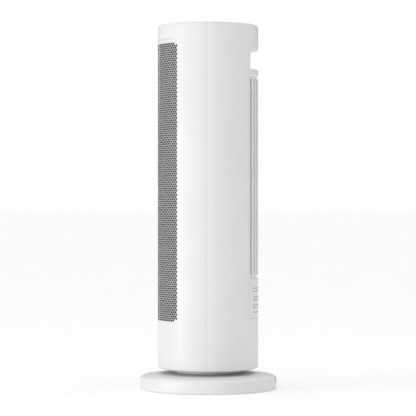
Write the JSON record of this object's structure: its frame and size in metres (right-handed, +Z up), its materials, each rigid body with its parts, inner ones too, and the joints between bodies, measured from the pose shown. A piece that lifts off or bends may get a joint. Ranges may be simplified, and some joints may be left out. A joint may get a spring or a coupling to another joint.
{
  "type": "ceramic tower heater",
  "caption": "White cylindrical tower heater on a round base: perforated front grille, finned rear intake panel with a grip recess, swinging neck, fan wheel, ceramic core.",
  "frame": {"origin": "on the floor under the centre of the base, which is the swing axis", "axes": "+Z up, -Y towards the warm-air grille, +Y towards the rear intake panel, +X completes the right-handed frame"},
  "size_m": [0.238, 0.238, 0.631],
  "materials": {
    "white_shell": "satin moulded white",
    "dark_plastic": "fine matte",
    "grey_plastic": "satin",
    "grille_sheet": "satin white powder coat",
    "filter_mesh": "fine woven mesh",
    "display_gloss": "smoked gloss",
    "rubber_parts": "matte",
    "steel_parts": "zinc plated",
    "ballast_iron": "as cast",
    "bare_aluminium": "mill",
    "circuit_board": "solder mask"
  },
  "bodies": {
    "base": {"base_cover": "white_shell", "base_plate": "dark_plastic", "ballast_ring": "ballast_iron", "foot_1": "rubber_parts", "foot_2": "rubber_parts", "foot_3": "rubber_parts", "foot_4": "rubber_parts", "base_screw_1": "steel_parts", "base_screw_2": "steel_parts", "base_screw_3": "steel_parts", "base_screw_4": "steel_parts", "neck_ring": "white_shell", "glide_ring": "grey_plastic", "swing_motor": "steel_parts", "tip_over_switch": "dark_plastic", "cord_gland": "rubber_parts"},
    "tower": {"turntable": "dark_plastic", "retaining_washer": "steel_parts", "swing_gear": "grey_plastic", "front_shell": "white_shell", "rear_shell": "white_shell", "front_grille": "grille_sheet", "bottom_cover": "white_shell", "rear_panel": "white_shell", "grip_cup": "white_shell", "filter_screen": "filter_mesh", "lower_frame": "dark_plastic", "lower_deck": "dark_plastic", "upper_deck": "dark_plastic", "outlet_guard": "dark_plastic", "scroll_wall": "dark_plastic", "tongue_wall": "dark_plastic", "fan_motor": "steel_parts", "top_bearing": "steel_parts", "heater_frame": "dark_plastic", "heating_core_1": "bare_aluminium", "heating_core_2": "bare_aluminium", "heating_core_3": "bare_aluminium", "thermal_cutout": "steel_parts", "power_board": "circuit_board", "heat_sink": "bare_aluminium", "wire_harness": "rubber_parts", "top_frame": "dark_plastic", "key_board": "circuit_board", "top_panel": "white_shell", "display_window": "display_gloss"},
    "fan_rotor": {"fan_wheel": "dark_plastic", "wheel_shaft": "steel_parts"},
    "swing_pinion": {"swing_pinion": "grey_plastic"},
    "button_mode": {"button_mode": "grey_plastic"},
    "button_cooler": {"button_cooler": "grey_plastic"},
    "button_power": {"button_power": "grey_plastic"},
    "button_warmer": {"button_warmer": "grey_plastic"},
    "button_swing": {"button_swing": "grey_plastic"}
  },
  "joints": [
    {"name": "tower_swing", "type": "hinge", "parent": "base", "child": "tower", "pos_m": [0, 0, 0.04], "axis": [0, 0, 1], "range_deg": [-35, 35]},
    {"name": "pinion_turn", "type": "hinge", "parent": "base", "child": "swing_pinion", "pos_m": [0, -0.04, 0.019], "axis": [0, 0, 1], "range_deg": [-106, 106]},
    {"name": "wheel_spin", "type": "hinge", "parent": "tower", "child": "fan_rotor", "pos_m": [0, 0.02, 0.32], "axis": [0, 0, 1], "continuous": true},
    {"name": "press_mode", "type": "slide", "parent": "tower", "child": "button_mode", "axis": [0, 0, 1], "range_m": [-0.001, 0], "stiffness_N_per_m": 400, "springref_m": 0.0008},
    {"name": "press_cooler", "type": "slide", "parent": "tower", "child": "button_cooler", "axis": [0, 0, 1], "range_m": [-0.001, 0], "stiffness_N_per_m": 400, "springref_m": 0.0008},
    {"name": "press_power", "type": "slide", "parent": "tower", "child": "button_power", "axis": [0, 0, 1], "range_m": [-0.001, 0], "stiffness_N_per_m": 400, "springref_m": 0.0008},
    {"name": "press_warmer", "type": "slide", "parent": "tower", "child": "button_warmer", "axis": [0, 0, 1], "range_m": [-0.001, 0], "stiffness_N_per_m": 400, "springref_m": 0.0008},
    {"name": "press_swing", "type": "slide", "parent": "tower", "child": "button_swing", "axis": [0, 0, 1], "range_m": [-0.001, 0], "stiffness_N_per_m": 400, "springref_m": 0.0008}
  ],
  "couplings": [
    {"joint": "pinion_turn", "follows": "tower_swing", "ratio": -3}
  ]
}
